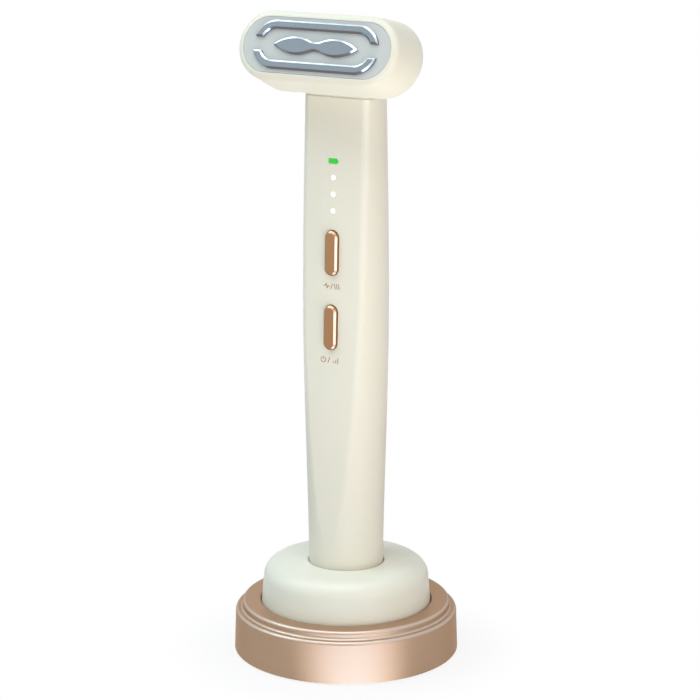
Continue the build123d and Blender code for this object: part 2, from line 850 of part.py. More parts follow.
def inner_frame():
    """Moulded channel that slides in from the foot and carries the battery and the main board."""
    top = board_top_height + frame_top_margin
    channel = bore_form(frame_gap) & slab(frame_foot, top)
    inside = channel
    channel = channel - bore_form(frame_gap + frame_wall)
    rib_heights = [battery_foot - frame_rib - battery_gap, battery_foot + battery_length / 2,
                   battery_foot + battery_length + battery_tip_height + battery_gap,
                   board_foot_height + frame_top_margin, top - frame_rib]
    ribs = [inside & slab(frame_foot, frame_foot + frame_bulkhead)]
    for height in rib_heights:
        ribs.append(inside & slab(height, height + frame_rib))
    frame = joined([channel] + ribs) & behind_facet(board_back)
    for height in pillar_heights:
        pillar = facet_plane(height, board_back) * Cylinder(
            pillar_radius, 2 * bore_foot_radius, align=downward)
        frame = frame + (pillar & inside)
    for height in pillar_heights:
        pilot = facet_plane(height, board_back - 1) * Cylinder(
            small_screw_radius + running_gap, board_screw_length + 1, align=downward)
        frame = frame - pilot
    cell = disc(battery_radius + battery_gap, battery_foot - battery_gap,
                battery_foot + battery_length + battery_gap, 0, battery_back_shift)
    frame = frame - cell
    for side in (-1, 1):
        frame = frame - disc(cap_screw_radius + running_gap, frame_foot - 1,
                             frame_foot + frame_bulkhead + 1, 0, side * cap_screw_offset)
    wires = Pos(0, 0, frame_foot) * Box(pin_spacing + 2 * wire_slot_margin, wire_slot_depth,
                                        2 * (frame_bulkhead + wire_slot_margin))
    return frame - wires


def battery():
    """Cylindrical lithium cell with its raised terminal."""
    cell = disc(battery_radius, battery_foot, battery_foot + battery_length, 0, battery_back_shift)
    cell = fillet(cell.edges().filter_by(GeomType.CIRCLE), battery_end_round)
    top = battery_foot + battery_length
    return cell + disc(battery_tip_radius, top, top + battery_tip_height, 0, battery_back_shift)


def battery_pad():
    """Foam strip that holds the cell in the channel against the front wall."""
    low = battery_foot + (battery_length - pad_length) / 2
    strip = Pos(0, 0, low) * Box(pad_width, 2 * bore_foot_radius, pad_length,
                                 align=(Align.CENTER, Align.MAX, Align.MIN))
    strip = strip & bore_form(pad_gap)
    cell = disc(battery_radius + seat_gap, low - 1, low + pad_length + 1, 0, battery_back_shift)
    return (strip - cell).solids().sort_by(Axis.Y)[0]


def main_circuit_board():
    """Main board, parallel to the facet behind the buttons and windows."""
    length = board_top_height - board_foot_height
    middle = (board_top_height + board_foot_height) / 2
    outline = RectangleRounded(main_board_width, length, board_corner)
    board = extrude(facet_plane(middle, board_back) * outline, board_thickness)
    for height in pillar_heights:
        hole = facet_plane(height, board_depth - 1) * Cylinder(
            small_screw_radius + slip_gap, 3 * board_thickness, align=downward)
        board = board - hole
    return board


def main_board_screws():
    """Three small screws that hold the board to the frame's pillars."""
    head = (small_screw_head_radius, small_screw_head_height)
    screw = pan_screw(small_screw_radius, board_screw_length, *head)
    return [facet_plane(height, board_depth) * screw for height in pillar_heights]


def control_chips():
    """Chips on the main board's front, below the lower button and between the two buttons."""
    low = button_heights[1] - button_length / 2 - control_chip_drop
    middle = (button_heights[0] + button_heights[1]) / 2
    places = [(-low_chip_offset, low, controller_size), (low_chip_offset, low, charger_size),
              (-middle_chip_offset, middle, driver_size), (middle_chip_offset, middle, memory_size)]
    return [extrude(facet_plane(height, board_depth) * (Pos(x, 0) * Rectangle(width, length)), rise)
            for x, height, (width, length, rise) in places]


def button(index):
    """Metal button cap: drafted sides, bevelled face, flange behind the wall and a post to the switch."""
    height = button_heights[index]
    cap = upright(stadium(button_length, button_width))
    body = extrude(facet_plane(height, flange_depth) * cap, flange_depth)
    body = body + extrude(facet_plane(height) * cap, button_proud, taper=button_draft)
    face = body.faces().sort_by(Axis.Y)[0]
    body = chamfer(face.edges(), button_bevel)
    reach = 2 * button_flange_reach
    flange = upright(stadium(button_length + reach, button_width + reach))
    back = flange_depth + button_flange_thickness
    body = body + extrude(facet_plane(height, back) * flange, button_flange_thickness)
    post_length = stem_top - running_gap - back
    post = facet_plane(height, back + post_length) * Circle(button_post_radius)
    return body + extrude(post, post_length + join_overlap)


def button_gasket():
    """Silicone frame on the inside of the facet wall, around both button flanges."""
    middle = (button_heights[0] + button_heights[1]) / 2
    outline = RectangleRounded(gasket_width, gasket_length, gasket_corner)
    sheet = extrude(facet_plane(middle, facet_wall + gasket_thickness) * outline, 2 * gasket_thickness)
    gasket = sheet & bore_form(seat_gap)
    reach = 2 * button_flange_reach + 2 * gasket_window_gap
    opening = upright(stadium(button_length + reach, button_width + reach))
    for height in button_heights:
        gasket = gasket - window_cut(opening, height, 0, facet_wall + 2 * gasket_thickness)
    return gasket


def switch(index):
    """Tactile switch body on the main board, with the hole for its stem."""
    place = facet_plane(button_heights[index], board_depth)
    body = extrude(place * RectangleRounded(switch_size, switch_size, switch_corner), switch_height)
    well = extrude(place * Circle(stem_radius + running_gap), switch_height)
    return body - Pos(*(place.z_dir * switch_floor)) * well


def switch_stem(index):
    """Round stem of a tactile switch; it moves with the button above it."""
    tail_depth = stem_top + stem_rise + stem_tail
    tail = facet_plane(button_heights[index], tail_depth) * Circle(stem_radius)
    return extrude(tail, tail_depth - stem_top)


def light_web(sketch, height):
    """Flat web behind the facet wall that joins and seats light pipes."""
    return extrude(facet_plane(height, flange_depth + web_thickness) * sketch, web_thickness)


def battery_window():
    """Green light pipe with the battery-shaped face."""
    height = battery_window_height_at
    pipe = extrude(facet_plane(height, light_pipe_length) * battery_sign(), light_pipe_length)
    web_height = battery_window_height + 2 * battery_web_margin
    web = RectangleRounded(battery_window_width + 2 * web_margin, web_height, web_corner)
    return pipe + light_web(web, height)


def level_windows():
    """Moulded light guide: one web with three round pipes."""
    middle = (level_heights[0] + level_heights[-1]) / 2
    span = (level_window_count - 1) * level_window_pitch + 2 * (level_window_radius + web_margin)
    guide = light_web(upright(stadium(span, 2 * (level_window_radius + web_margin))), middle)
    for height in level_heights:
        pipe_end = facet_plane(height, light_pipe_length) * Circle(level_window_radius)
        guide = guide + extrude(pipe_end, light_pipe_length)
    return guide


def light_shield():
    """Opaque block on the board that keeps each light in its own pipe."""
    high = battery_window_height_at + shield_margin
    low = level_heights[-1] - shield_margin
    middle = (high + low) / 2
    front = flange_depth + web_thickness + seat_gap
    depth = board_depth - front
    outline = RectangleRounded(shield_width, high - low, shield_corner)
    shield = extrude(facet_plane(middle, board_depth) * outline, depth)
    cell = Circle(max(level_window_radius, led_length / 2) + shield_gap)
    for height in level_heights:
        shield = shield - window_cut(cell, height, 0, board_depth + 1)
    width = battery_window_width + 2 * shield_gap
    cell = RectangleRounded(width, battery_window_height + 2 * shield_gap, shield_cell_corner)
    return shield - window_cut(cell, battery_window_height_at, 0, board_depth + 1)


def indicator_leds():
    """Light chips on the main board, one behind each window."""
    chip = Rectangle(led_length, led_width)
    heights = [battery_window_height_at] + level_heights
    return [extrude(facet_plane(height, board_depth) * chip, led_height) for height in heights]


def neck_gasket():
    """Thin rubber gasket between the barrel and the head's neck."""
    return extrude(handle_outline(split_bottom, gasket_inset), split_top - split_bottom) - bore_form(0)


# Wand, head

def head_plane(depth=0.0):
    """Plane of the lens panel, moved a depth into the head, X to the right and Y up the panel."""
    lean = math.radians(head_tilt)
    normal = Vector(0, -math.cos(lean), math.sin(lean))
    centre = Vector(0, -head_reach, neck_height + head_rise)
    return Plane(origin=centre - normal * depth, x_dir=(1, 0, 0), z_dir=normal)


def outward():
    """Axis that points out of the lens panel."""
    return Axis(head_plane().origin, head_plane().z_dir)


def head_slot(radius, depth, shift=0.0):
    """Stadium across the head at a depth, moved up the panel by a shift."""
    outline = SlotCenterToCenter(2 * head_half_straight, 2 * radius)
    return head_plane(depth) * (Pos(0, shift) * outline)


def head_prism(radius, depth_from, depth_to, shift=0.0):
    """Straight stadium prism between two depths."""
    return extrude(head_slot(radius, depth_to, shift), depth_to - depth_from)


def head_flare(front_radius, front_depth, back_radius, back_depth, front_shift=0.0, back_shift=0.0):
    """Stadium prism that widens from front to back."""
    front = head_slot(front_radius, front_depth, front_shift)
    return loft([front, head_slot(back_radius, back_depth, back_shift)], ruled=True)


def head_front_shell():
    """Moulded front of the head: round bezel, flared sides, ledge for the panel and heat stakes."""
    shell = head_flare(bezel_radius, 0, head_back_radius, head_depth, 0, head_back_shift)
    front = shell.faces().sort_by(outward())[-1]
    shell = fillet(front.edges(), bezel_round)
    shell = shell - head_prism(panel_radius + panel_gap, -1, panel_thickness)
    shell = shell - head_prism(panel_radius - panel_ledge_reach, -1, led_board_depth + 1)
    shell = shell - head_flare(panel_radius + panel_gap, led_board_depth, head_back_radius - head_wall,
                               head_depth, 0, head_back_shift)
    for place in stake_places():
        stake_end = head_plane(led_board_depth + stake_length) * (place * Circle(stake_radius))
        shell = shell + extrude(stake_end, stake_length + join_overlap)
    return shell


def stake_places():
    """Places of the four heat stakes in the round ends of the light board."""
    radius = panel_radius - stake_inset
    places = []
    for side in (-1, 1):
        for angle in (-stake_angle, stake_angle):
            turn = math.radians(angle)
            x = side * (head_half_straight + radius * math.cos(turn))
            places.append(Pos(x, radius * math.sin(turn)))
    return places


def head_rear_shell():
    """Back of the head with the neck, the collar that plugs into the barrel and the motor cradle."""
    back_end = head_depth + back_thickness
    plate = head_prism(head_back_radius, head_depth, back_end, head_back_shift)
    back_face = plate.faces().sort_by(outward())[0]
    plate = fillet(back_face.edges(), back_round)
    ahead = head_plane(head_depth) * Box(4 * base_radius, 4 * base_radius, 4 * base_radius,
                                         align=(Align.CENTER, Align.CENTER, Align.MIN))
    shell = plate + (neck_form() - ahead)
    shell = shell - head_prism(head_back_radius - head_wall - lip_gap - lip_wall, head_depth - 1,
                               back_end - back_floor, head_back_shift)
    lip_share = 1 - lip_length / (head_depth - led_board_depth)
    lip_radius = head_back_radius - head_wall - lip_gap
    panel_seat_radius = panel_radius + panel_gap
    lip_front_radius = panel_seat_radius + lip_share * (lip_radius + lip_gap - panel_seat_radius)
    lip = head_flare(lip_front_radius - lip_gap, head_depth - lip_length, lip_radius, head_depth,
                     lip_share * head_back_shift, head_back_shift)
    lip = lip + head_prism(lip_radius, head_depth, head_depth + lip_root, head_back_shift)
    hollow_front = head_depth - lip_length - 1
    lip = lip - head_prism(lip_radius - lip_wall, hollow_front, head_depth + 1, head_back_shift)
    collar = bore_form(collar_gap) & slab(split_bottom - collar_length, split_top + 1)
    shell = shell + lip + collar
    cavity_radius = bore_neck_radius - collar_gap - collar_wall
    cavity = disc(cavity_radius, split_bottom - collar_length - 1, split_top + neck_cavity_top)
    cavity = cavity & behind_facet(facet_wall + collar_gap + collar_wall)
    shell = shell - (cavity - ahead)
    passage = extrude(head_plane(back_end + 4) * Circle(neck_passage_radius), 4 + back_thickness + 1)
    shell = shell - passage
    ribs = []
    for side in (-1, 1):
        x = motor_centre + side * cradle_spacing / 2
        low = motor_depth
        high = back_end - back_floor + cradle_root
        width = 2 * (motor_radius + sleeve_thickness + cradle_margin)
        rib = extrude(head_plane(high) * (Pos(x, 0) * Rectangle(cradle_rib, width)), high - low)
        ribs.append(rib)
    shell = joined([shell] + ribs)
    bed = motor_line(motor_radius + sleeve_thickness + seat_gap, motor_centre, motor_length + 4)
    return shell - bed


def motor_line(radius, centre, length):
    """Cylinder across the head on the motor's axis, centred at an X position."""
    axis = head_plane(motor_depth)
    place = Plane(origin=axis.origin + Vector(centre, 0, 0), x_dir=axis.y_dir, z_dir=(1, 0, 0))
    return place * Cylinder(radius, length)


def bar_sketch(grow=0.0):
    """C-shaped electrode outline: a straight run whose ends curve down around the panel's ends."""
    outer = bar_centre_radius + bar_width / 2 + grow
    inner = bar_centre_radius - bar_width / 2 - grow
    straight = 2 * bar_half_straight
    band = SlotCenterToCenter(straight, 2 * outer) - SlotCenterToCenter(straight, 2 * inner)
    cut_height = bar_centre_radius * math.sin(math.radians(bar_end_angle)) - grow
    keep = Pos(0, cut_height) * Rectangle(6 * bar_half_straight, 4 * outer, align=(Align.CENTER, Align.MIN))
    return band & keep


def leaf_sketch(grow=0.0):
    """Centre electrode outline: two pointed leaves joined at a narrow waist."""
    tip = leaf_half_length + grow
    peak = leaf_half_height + grow
    waist = leaf_waist + grow
    flank = waist + leaf_flank_rise
    places = ((0, waist), (leaf_flank, flank), (leaf_peak, peak), (tip, 0))
    right_top = Spline(*places, tangents=((1, 0), (1, -leaf_tip_slope)))
    top = Curve() + [right_top, mirror(right_top, Plane.YZ)]
    return make_face(top + mirror(top, Plane.XZ))


def raised(sketch, studs):
    """Electrode from its outline: seated in the panel, proud of it, bevelled, with studs to the board."""
    plate = extrude(head_plane(electrode_seat) * sketch, electrode_seat + electrode_proud)
    face = plate.faces().sort_by(outward())[-1]
    plate = chamfer(face.edges(), electrode_bevel_width, electrode_bevel_depth, reference=face)
    stud_end = led_board_depth - seat_gap
    for x, y in studs:
        stud = Pos(x, y) * Circle(stud_radius)
        plate = plate + extrude(head_plane(stud_end) * stud, stud_end - electrode_seat / 2)
    return plate


def bar_studs():
    """Places of the studs under the upper electrode."""
    return [(side * stud_spacing / 2, bar_centre_radius) for side in (-1, 1)]


def leaf_studs():
    """Places of the studs under the centre electrode."""
    return [(side * leaf_peak, 0) for side in (-1, 1)]


def upper_electrode():
    """Polished electrode along the top of the panel."""
    return raised(bar_sketch(), bar_studs())


def lower_electrode():
    """Polished electrode along the bottom of the panel."""
    return raised(mirror(bar_sketch(), Plane.XZ), [(x, -y) for x, y in bar_studs()])


def centre_electrode():
    """Polished double-leaf electrode in the middle of the panel."""
    return raised(leaf_sketch(), leaf_studs())


def lens_panel():
    """Tinted window of the head, with seats and stud holes for the electrodes."""
    panel = head_prism(panel_radius, 0, panel_thickness)
    seats = [bar_sketch(running_gap), mirror(bar_sketch(running_gap), Plane.XZ), leaf_sketch(running_gap)]
    for seat in seats:
        panel = panel - extrude(head_plane(electrode_seat) * seat, 2 * electrode_seat)
    studs = bar_studs() + [(x, -y) for x, y in bar_studs()] + leaf_studs()
    for x, y in studs:
        hole = Pos(x, y) * Circle(stud_radius + running_gap)
        panel = panel - extrude(head_plane(panel_thickness + 1) * hole, panel_thickness + 2)
    return panel


def led_board():
    """Board behind the panel, held by the shell's heat stakes."""
    board = head_prism(panel_radius - led_board_gap, led_board_depth, led_board_depth + led_board_thickness)
    for place in stake_places():
        hole = place * Circle(stake_radius + slip_gap)
        board = board - extrude(head_plane(led_board_depth + 3) * hole, 4)
    return board


def led_chips():
    """Red light chips on the front of the board, in two rows."""
    chips = []
    for row in (-1, 1):
        for column in range(chip_columns):
            x = (column - (chip_columns - 1) / 2) * chip_pitch
            spot = Pos(x + chip_pitch / 4 * row, row * chip_row_offset) * Rectangle(chip_length, chip_width)
            chips.append(extrude(head_plane(led_board_depth) * spot, chip_height))
    return chips


def vibration_motor():
    """Small direct-current motor across the head, with a bore for its shaft."""
    can = motor_line(motor_radius, motor_centre, motor_length)
    can = fillet(can.edges().filter_by(GeomType.CIRCLE), motor_edge_round)
    bore_length = motor_shaft_insert + motor_bore_end + 1
    bore_middle = motor_centre + motor_length / 2 + 1 - bore_length / 2
    return can - motor_line(motor_shaft_radius + running_gap, bore_middle, bore_length)


def motor_sleeve():
    """Rubber sleeve between the motor and its cradle."""
    tube = motor_line(motor_radius + sleeve_thickness, motor_centre, sleeve_length)
    return tube - motor_line(motor_radius + seat_gap / 2, motor_centre, sleeve_length + 2)


def motor_shaft():
    """Steel shaft of the motor."""
    end = motor_centre + motor_length / 2
    length = motor_shaft_reach + motor_shaft_insert
    return motor_line(motor_shaft_radius, end + (motor_shaft_reach - motor_shaft_insert) / 2, length)


def motor_weight():
    """Off-centre tungsten weight pressed on the shaft, hanging straight down at rest."""
    centre = motor_centre + motor_length / 2 + weight_gap + weight_length / 2
    whole = motor_line(weight_radius, centre, weight_length)
    axis = head_plane(motor_depth)
    beneath = Box(4 * base_radius, 4 * weight_radius, 4 * weight_radius,
                  align=(Align.CENTER, Align.MAX, Align.CENTER))
    lower = Plane(origin=axis.origin, x_dir=(1, 0, 0), z_dir=(0, -1, 0)) * beneath
    half = (whole & lower) + motor_line(motor_shaft_radius + weight_hub_wall, centre, weight_length)
    return half - motor_line(motor_shaft_radius, centre, weight_length + 2)


def write(name, shape, lift=0.0):
    """Write one node, with each of its solids lifted to its place."""
    pieces = shape if isinstance(shape, list) else [shape]
    solids = [Pos(0, 0, lift) * solid for piece in pieces for solid in piece.solids()]
    for solid in solids:
        solid.label = name
    node = Compound(children=solids, label=name) if len(solids) > 1 else solids[0]
    export_step(node, f"parts/{name}.step")


def write_stand():
    """Write the pieces of the stand."""
    write("stand_base_ring", stand_base_ring())
    write("stand_cup", stand_cup())
    write("stand_bottom_cover", stand_bottom_cover())
    write("stand_foot_ring", stand_foot_ring())
    write("stand_ballast", stand_ballast())
    write("stand_screws", stand_screws())
    write("stand_circuit_board", stand_circuit_board())
    write("stand_board_screws", stand_board_screws())
    write("charging_inlet_shell", charging_inlet_shell())
    write("charging_inlet_tongue", charging_inlet_tongue())
    write("charging_pin_barrels", charging_pin_barrels())
    for name, side in (("left", -1), ("right", 1)):
        write(f"charging_pin_{name}", charging_pin(side))
        write(f"pin_spring_{name}", pin_spring(side))


def write_handle():
    """Write the pieces of the handle."""
    pieces = {
        "handle_barrel": handle_barrel(),
        "handle_end_cap": handle_end_cap(),
        "end_cap_seal": end_cap_seal(),
        "end_cap_screws": end_cap_screws(),
        "charging_contacts": charging_contacts(),
        "inner_frame": inner_frame(),
        "battery": battery(),
        "battery_pad": battery_pad(),
        "main_circuit_board": main_circuit_board(),
        "main_board_screws": main_board_screws(),
        "control_chips": control_chips(),
        "treatment_button": button(0),
        "power_button": button(1),
        "button_gasket": button_gasket(),
        "treatment_switch": switch(0),
        "power_switch": switch(1),
        "treatment_switch_stem": switch_stem(0),
        "power_switch_stem": switch_stem(1),
        "battery_window": battery_window(),
        "level_windows": level_windows(),
        "light_shield": light_shield(),
        "indicator_leds": indicator_leds(),
        "neck_gasket": neck_gasket(),
    }
    for name, shape in pieces.items():
        write(name, shape, wand_foot)


def write_head():
    """Write the pieces of the head."""
    pieces = {
        "head_front_shell": head_front_shell(),
        "head_rear_shell": head_rear_shell(),
        "lens_panel": lens_panel(),
        "upper_electrode": upper_electrode(),
        "lower_electrode": lower_electrode(),
        "centre_electrode": centre_electrode(),
        "led_board": led_board(),
        "led_chips": led_chips(),
        "vibration_motor": vibration_motor(),
        "motor_sleeve": motor_sleeve(),
        "motor_shaft": motor_shaft(),
        "motor_weight": motor_weight(),
    }
    for name, shape in pieces.items():
        write(name, shape, wand_foot)


write_stand()
write_handle()
write_head()
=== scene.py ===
import math

import bpy
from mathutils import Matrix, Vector


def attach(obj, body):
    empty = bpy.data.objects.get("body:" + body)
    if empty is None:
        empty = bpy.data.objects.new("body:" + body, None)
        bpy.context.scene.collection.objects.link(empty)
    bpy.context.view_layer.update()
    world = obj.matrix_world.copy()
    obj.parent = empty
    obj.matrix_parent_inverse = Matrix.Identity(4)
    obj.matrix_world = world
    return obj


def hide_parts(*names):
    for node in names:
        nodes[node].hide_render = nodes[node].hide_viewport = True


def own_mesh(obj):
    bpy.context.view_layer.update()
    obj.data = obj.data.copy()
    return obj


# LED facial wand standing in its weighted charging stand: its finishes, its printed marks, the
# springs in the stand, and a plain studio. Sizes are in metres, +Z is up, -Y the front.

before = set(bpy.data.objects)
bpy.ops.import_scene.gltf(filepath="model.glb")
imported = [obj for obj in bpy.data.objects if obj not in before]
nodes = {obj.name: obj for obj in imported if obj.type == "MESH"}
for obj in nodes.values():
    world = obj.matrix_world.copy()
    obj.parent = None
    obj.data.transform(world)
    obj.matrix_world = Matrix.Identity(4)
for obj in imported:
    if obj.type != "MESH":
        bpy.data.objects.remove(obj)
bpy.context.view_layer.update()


# Camera, studio and floor.
# A long lens a little above the head, turned to the wand's right front. Big soft lamps, a pale
# surround and a white floor that keeps the stand's shadow close to it.

camera_place = (0.3825, -0.6775, 0.2923)
camera_azimuth = 29.45
camera_dip = 13.97
camera_shift = 4
picture_width = 700
lamp_aim = Vector((0.0, 0.0, 0.1))
panel_lift = 0.002
light_level = 0.175
seen_level = 1.0

camera_data = bpy.data.cameras.new("camera")
camera_data.lens = 130.9
camera_data.sensor_width = 36.0
camera_data.shift_x = camera_shift / picture_width
camera_data.clip_start = 0.05
camera_data.clip_end = 30.0
camera = bpy.data.objects.new("camera", camera_data)
camera.location = camera_place
camera.rotation_euler = (math.radians(90 - camera_dip), 0.0, math.radians(camera_azimuth))
bpy.context.scene.collection.objects.link(camera)
bpy.context.scene.camera = camera
bpy.context.scene.view_settings.view_transform = "Standard"


def soft_lamp(name, azimuth, elevation, distance, size, power, colour):
    """Lamp that looks at the middle of the wand, placed by its angles and its distance from there."""
    data = bpy.data.lights.new(name, "AREA")
    data.shape = "RECTANGLE"
    data.size, data.size_y = size
    data.energy = power
    data.color = colour
    lamp = bpy.data.objects.new(name, data)
    turn, rise = math.radians(azimuth), math.radians(elevation)
    away = Vector((math.sin(turn) * math.cos(rise), -math.cos(turn) * math.cos(rise), math.sin(rise)))
    lamp.location = away * distance + lamp_aim
    lamp.rotation_mode = "QUATERNION"
    lamp.rotation_quaternion = (-away).to_track_quat("-Z", "Y")
    bpy.context.scene.collection.objects.link(lamp)


soft_lamp("left_lamp", -60, 45, 0.85, (0.4, 0.4), 2.76, (0.67, 0.89, 1.0))
soft_lamp("low_right_lamp", 60, 8, 0.85, (0.4, 0.4), 1.46, (1.0, 0.95, 0.92))
soft_lamp("top_lamp", 20, 78, 1.2, (0.9, 0.9), 9.7, (0.93, 0.99, 1.0))


def floor_panel(name, azimuth, near, far, width, power, colour):
    """Light panel that lies on the floor in front of the stand, shines up, and isn't mirrored."""
    data = bpy.data.lights.new(name, "AREA")
    data.shape = "RECTANGLE"
    data.size, data.size_y = width, far - near
    data.energy = power
    data.color = colour
    lamp = bpy.data.objects.new(name, data)
    turn = math.radians(azimuth)
    middle = (near + far) / 2
    lamp.location = (math.sin(turn) * middle, -math.cos(turn) * middle, panel_lift)
    lamp.rotation_euler = (math.pi, 0.0, turn)
    lamp.visible_camera = False
    lamp.visible_glossy = False
    bpy.context.scene.collection.objects.link(lamp)


floor_panel("floor_panel", 45, 0.12, 0.60, 0.45, 1.26, (1.0, 0.92, 0.84))


def surround():
    """World that is white where it is seen or mirrored, and a dimmer white where it lights."""
    world = bpy.data.worlds.new("surround")
    bpy.context.scene.world = world
    world.use_nodes = True
    tree = world.node_tree
    tree.nodes.clear()
    seen = tree.nodes.new("ShaderNodeLightPath")
    mirrored = tree.nodes.new("ShaderNodeMath")
    mirrored.operation = "MAXIMUM"
    through = tree.nodes.new("ShaderNodeMath")
    through.operation = "MAXIMUM"
    level = tree.nodes.new("ShaderNodeMix")
    level.data_type = "FLOAT"
    level.inputs["A"].default_value = light_level
    level.inputs["B"].default_value = seen_level
    light = tree.nodes.new("ShaderNodeBackground")
    light.inputs["Color"].default_value = (1.0, 1.0, 1.0, 1.0)
    out = tree.nodes.new("ShaderNodeOutputWorld")
    tree.links.new(seen.outputs["Is Camera Ray"], mirrored.inputs[0])
    tree.links.new(seen.outputs["Is Glossy Ray"], mirrored.inputs[1])
    tree.links.new(mirrored.outputs[0], through.inputs[0])
    tree.links.new(seen.outputs["Is Transmission Ray"], through.inputs[1])
    tree.links.new(through.outputs[0], level.inputs["Factor"])
    tree.links.new(level.outputs["Result"], light.inputs["Strength"])
    tree.links.new(light.outputs[0], out.inputs["Surface"])


surround()


def clear_selection():
    """Deselect everything, the loaded nodes too, before a piece is made or changed."""
    bpy.ops.object.select_all(action="DESELECT")


def floor_finish():
    """White floor that keeps a faint shadow; for reflections it shows a painted glint fan and a painted
    dark band.
    """
    floor_white = (0.75, 0.75, 0.75, 1.0)
    fan_azimuth = 34.0
    fan_spread = 0.93
    fan_start = 0.0205
    fan_least_width = 0.005
    fan_falloff = 0.84
    painted_glint_strength = 5.3
    painted_glint_tint = (0.66, 0.84, 1.15, 1.0)
    painted_dark_tint = (0.6, 0.42, 0.34, 1.0)
    band_inner = (0.09, 0.14)
    band_outer = (0.24, 0.32)
    shadow_edge = (0.036, 0.062)
    near_white = 0.88
    paint = bpy.data.materials.new("floor_finish")
    paint.use_nodes = True
    tree = paint.node_tree
    tree.nodes.clear()
    place = tree.nodes.new("ShaderNodeTexCoord").outputs["Object"]
    seen = tree.nodes.new("ShaderNodeLightPath")

    def math_node(operation, first, second=0.0):
        node = tree.nodes.new("ShaderNodeMath")
        node.operation = operation
        for socket, value in zip(node.inputs, (first, second)):
            if isinstance(value, float):
                socket.default_value = value
            else:
                tree.links.new(value, socket)
        return node.outputs[0]

    def ramp(value, start, end, first, last):
        node = tree.nodes.new("ShaderNodeMapRange")
        node.interpolation_type = "SMOOTHSTEP"
        numbers = {"From Min": start, "From Max": end, "To Min": first, "To Max": last}
        for name, number in numbers.items():
            node.inputs[name].default_value = number
        tree.links.new(value, node.inputs["Value"])
        return node.outputs["Result"]

    def along(azimuth):
        turn = math.radians(azimuth)
        node = tree.nodes.new("ShaderNodeVectorMath")
        node.operation = "DOT_PRODUCT"
        node.inputs[1].default_value = (math.sin(turn), -math.cos(turn), 0.0)
        tree.links.new(place, node.inputs[0])
        return node.outputs["Value"]

    def mixed(share, first, second):
        node = tree.nodes.new("ShaderNodeMixShader")
        for socket, value in zip(node.inputs, (share, first, second)):
            tree.links.new(value, socket)
        return node.outputs[0]

    length = tree.nodes.new("ShaderNodeVectorMath")
    length.operation = "LENGTH"
    tree.links.new(place, length.inputs[0])
    reach = length.outputs["Value"]
    # The fan is a painted reflection: a bluish glow that only reflections see, which puts a bright band on
    # the ring's skirt.
    forward = along(fan_azimuth)
    aside = math_node("ABSOLUTE", along(fan_azimuth + 90.0))
    fan_width = math_node("SUBTRACT", math_node("MULTIPLY", forward, fan_spread), fan_start)
    fan_width = math_node("MAXIMUM", fan_width, fan_least_width)
    off_fan = math_node("DIVIDE", aside, fan_width)
    off_squared = math_node("MULTIPLY", off_fan, off_fan)
    fan = math_node("EXPONENT", math_node("MULTIPLY", off_squared, -fan_falloff))
    tint = tree.nodes.new("ShaderNodeMix")
    tint.data_type = "RGBA"
    tint.inputs[6].default_value = (1.0, 1.0, 1.0, 1.0)
    tint.inputs[7].default_value = painted_glint_tint
    tree.links.new(fan, tint.inputs["Factor"])
    mirrored = tree.nodes.new("ShaderNodeEmission")
    tree.links.new(tint.outputs[2], mirrored.inputs["Color"])
    brightness = math_node("ADD", math_node("MULTIPLY", fan, painted_glint_strength), 1.0)
    tree.links.new(brightness, mirrored.inputs["Strength"])
    # The band is a painted dark reflection: a warm dark glow further out that only reflections see, which
    # darkens the electrodes' lower bevels.
    band = tree.nodes.new("ShaderNodeEmission")
    band.inputs["Color"].default_value = painted_dark_tint
    past_inner = ramp(reach, *band_inner, 0.0, 1.0)
    before_outer = ramp(reach, *band_outer, 1.0, 0.0)
    painted_dark_share = math_node("MULTIPLY", past_inner, before_outer)
    in_metal = mixed(painted_dark_share, mirrored.outputs[0], band.outputs[0])
    shaded = tree.nodes.new("ShaderNodeBsdfDiffuse")
    shaded.inputs["Color"].default_value = floor_white
    lit_floor = mixed(seen.outputs["Is Glossy Ray"], shaded.outputs[0], in_metal)
    white = tree.nodes.new("ShaderNodeEmission")
    whiteness = ramp(reach, *shadow_edge, near_white, 1.0)
    white_share = math_node("MULTIPLY", whiteness, seen.outputs["Is Camera Ray"])
    out = tree.nodes.new("ShaderNodeOutputMaterial")
    tree.links.new(mixed(white_share, lit_floor, white.outputs[0]), out.inputs["Surface"])
    return paint


clear_selection()
floor_radius = 4.0
bpy.ops.mesh.primitive_circle_add(vertices=64, radius=floor_radius, fill_type="NGON", location=(0, 0, 0))
floor = bpy.context.object
floor.name = "floor"
floor.data.materials.append(floor_finish())


# Moulded plastic, used by the cup, the handle and the head.
# Injection moulded shells in a warm cream with a satin skin: a very fine grain, a trace of
# cloudiness in the colour and a soft sheen that varies slightly over the surface.

def new_group(name, inputs, outputs):
    """Empty shader node group with named sockets, and its input and output nodes."""
    group = bpy.data.node_groups.new(name, "ShaderNodeTree")
    for socket, kind, value in inputs:
        made = group.interface.new_socket(socket, in_out="INPUT", socket_type=kind)
        made.default_value = value
    for socket, kind in outputs:
        group.interface.new_socket(socket, in_out="OUTPUT", socket_type=kind)
    return group, group.nodes.new("NodeGroupInput"), group.nodes.new("NodeGroupOutput")


def cloud(group, place, scale, detail=2.0):
    """Soft noise on a place socket, a number from 0 to 1."""
    noise = group.nodes.new("ShaderNodeTexNoise")
    noise.inputs["Scale"].default_value = scale
    noise.inputs["Detail"].default_value = detail
    group.links.new(place, noise.inputs["Vector"])
    return noise.outputs["Fac"]


def spread(group, fac, middle, reach):
    """Number that swings by reach to each side of middle as fac goes from 0 to 1."""
    swing = group.nodes.new("ShaderNodeMath")
    swing.operation = "SUBTRACT"
    swing.inputs[1].default_value = 0.5
    group.links.new(fac, swing.inputs[0])
    out = group.nodes.new("ShaderNodeMath")
    out.operation = "MULTIPLY_ADD"
    group.links.new(swing.outputs[0], out.inputs[0])
    for socket, value in ((out.inputs[1], reach), (out.inputs[2], middle)):
        if isinstance(value, float):
            socket.default_value = value
        else:
            group.links.new(value, socket)
    return out.outputs[0]


